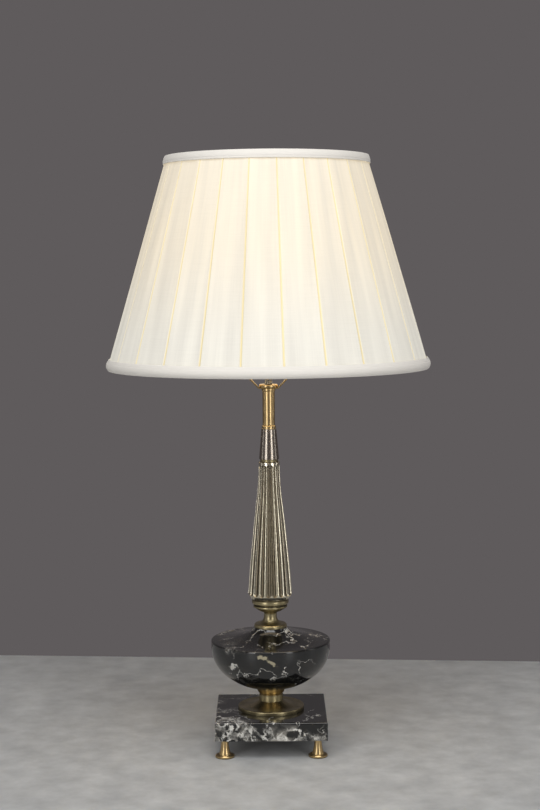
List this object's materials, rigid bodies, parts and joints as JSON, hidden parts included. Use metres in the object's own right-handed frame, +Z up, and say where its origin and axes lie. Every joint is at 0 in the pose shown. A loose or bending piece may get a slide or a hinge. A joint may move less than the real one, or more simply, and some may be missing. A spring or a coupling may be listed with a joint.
{
  "type": "table lamp",
  "caption": "Column table lamp: fluted tapered shaft on a squat stone bowl and square plinth with turned feet, under a pleated empire shade.",
  "frame": {"origin": "on the surface that the lamp stands on, at the middle of its box, under the lamp's axis", "axes": "+Z up along the lamp's axis; the front, with the switch, faces -Y; the harp lies in the XZ plane"},
  "size_m": [0.4064, 0.4064, 0.753],
  "materials": {
    "antique_brass": "aged olive brown brass under lacquer",
    "golden_brass": "polished golden brass",
    "dark_bronze": "polished black bronze",
    "black_marble": "polished black marble with white veins",
    "zinc_steel": "zinc plated",
    "rubber_black": "matt",
    "harp_brass": "plated, bright",
    "frame_white": "white enamel",
    "pleated_silk": "slubbed cream silk in wide pleats",
    "shade_lining": "smooth lining",
    "shade_trim": "rolled self trim",
    "switch_black": "ribbed, glossy",
    "phenolic": "moulded",
    "paper_insulator": "fibre board",
    "nickel_thread": "plain rolled metal",
    "frosted_glass": "frosted white"
  },
  "bodies": {
    "base": {"foot_front_left": "golden_brass", "foot_front_right": "golden_brass", "foot_back_left": "golden_brass", "foot_back_right": "golden_brass", "foot_studs": "zinc_steel", "plinth": "black_marble", "center_rod": "zinc_steel", "rod_washer": "zinc_steel", "rod_nut": "zinc_steel", "cord_bushing": "rubber_black", "base_flange": "antique_brass", "bowl_collar": "golden_brass", "marble_bowl": "black_marble", "marble_lid": "black_marble", "column_spool": "antique_brass", "column_lower_ring": "antique_brass", "column_upper_ring": "antique_brass", "fluted_column": "antique_brass", "neck_ring": "antique_brass", "dark_sleeve": "dark_bronze", "upper_tube": "golden_brass", "harp_saddle": "harp_brass", "saddle_disc": "golden_brass", "harp_hoop": "harp_brass", "harp_stud": "harp_brass", "socket_cap": "golden_brass", "socket_shell": "golden_brass", "socket_sleeve": "paper_insulator", "socket_body": "phenolic", "socket_thread": "nickel_thread", "socket_contact": "golden_brass", "terminal_screws": "golden_brass"},
    "shade": {"shade_cover": "pleated_silk", "shade_low_ring": "frame_white", "shade_high_ring": "frame_white", "shade_struts": "frame_white", "shade_spider": "harp_brass", "shade_liner": "shade_lining", "shade_bottom_trim": "shade_trim", "shade_top_trim": "shade_trim"},
    "finial": {"finial": "golden_brass"},
    "bulb": {"bulb_contact": "zinc_steel", "bulb_insulator": "phenolic", "bulb_cap": "nickel_thread", "bulb_glass": "frosted_glass"},
    "switch": {"switch_shaft": "golden_brass", "switch_knob": "switch_black"},
    "sleeve_left": {"harp_sleeve_left": "harp_brass"},
    "sleeve_right": {"harp_sleeve_right": "harp_brass"}
  },
  "joints": [
    {"name": "shade_swivel", "type": "hinge", "parent": "base", "child": "shade", "pos_m": [0, 0, 0.7334], "axis": [0, 0, 1], "continuous": true},
    {"name": "finial_turn", "type": "hinge", "parent": "base", "child": "finial", "pos_m": [0, 0, 0.736], "axis": [0, 0, 1], "continuous": true},
    {"name": "bulb_turn", "type": "hinge", "parent": "base", "child": "bulb", "pos_m": [0, 0, 0.52], "axis": [0, 0, 1], "continuous": true},
    {"name": "switch_turn", "type": "hinge", "parent": "base", "child": "switch", "pos_m": [0, 0, 0.498], "axis": [0, -1, 0], "continuous": true},
    {"name": "sleeve_left_lift", "type": "slide", "parent": "base", "child": "sleeve_left", "axis": [0, 0, 1], "range_m": [0, 0.009]},
    {"name": "sleeve_right_lift", "type": "slide", "parent": "base", "child": "sleeve_right", "axis": [0, 0, 1], "range_m": [0, 0.009]}
  ]
}
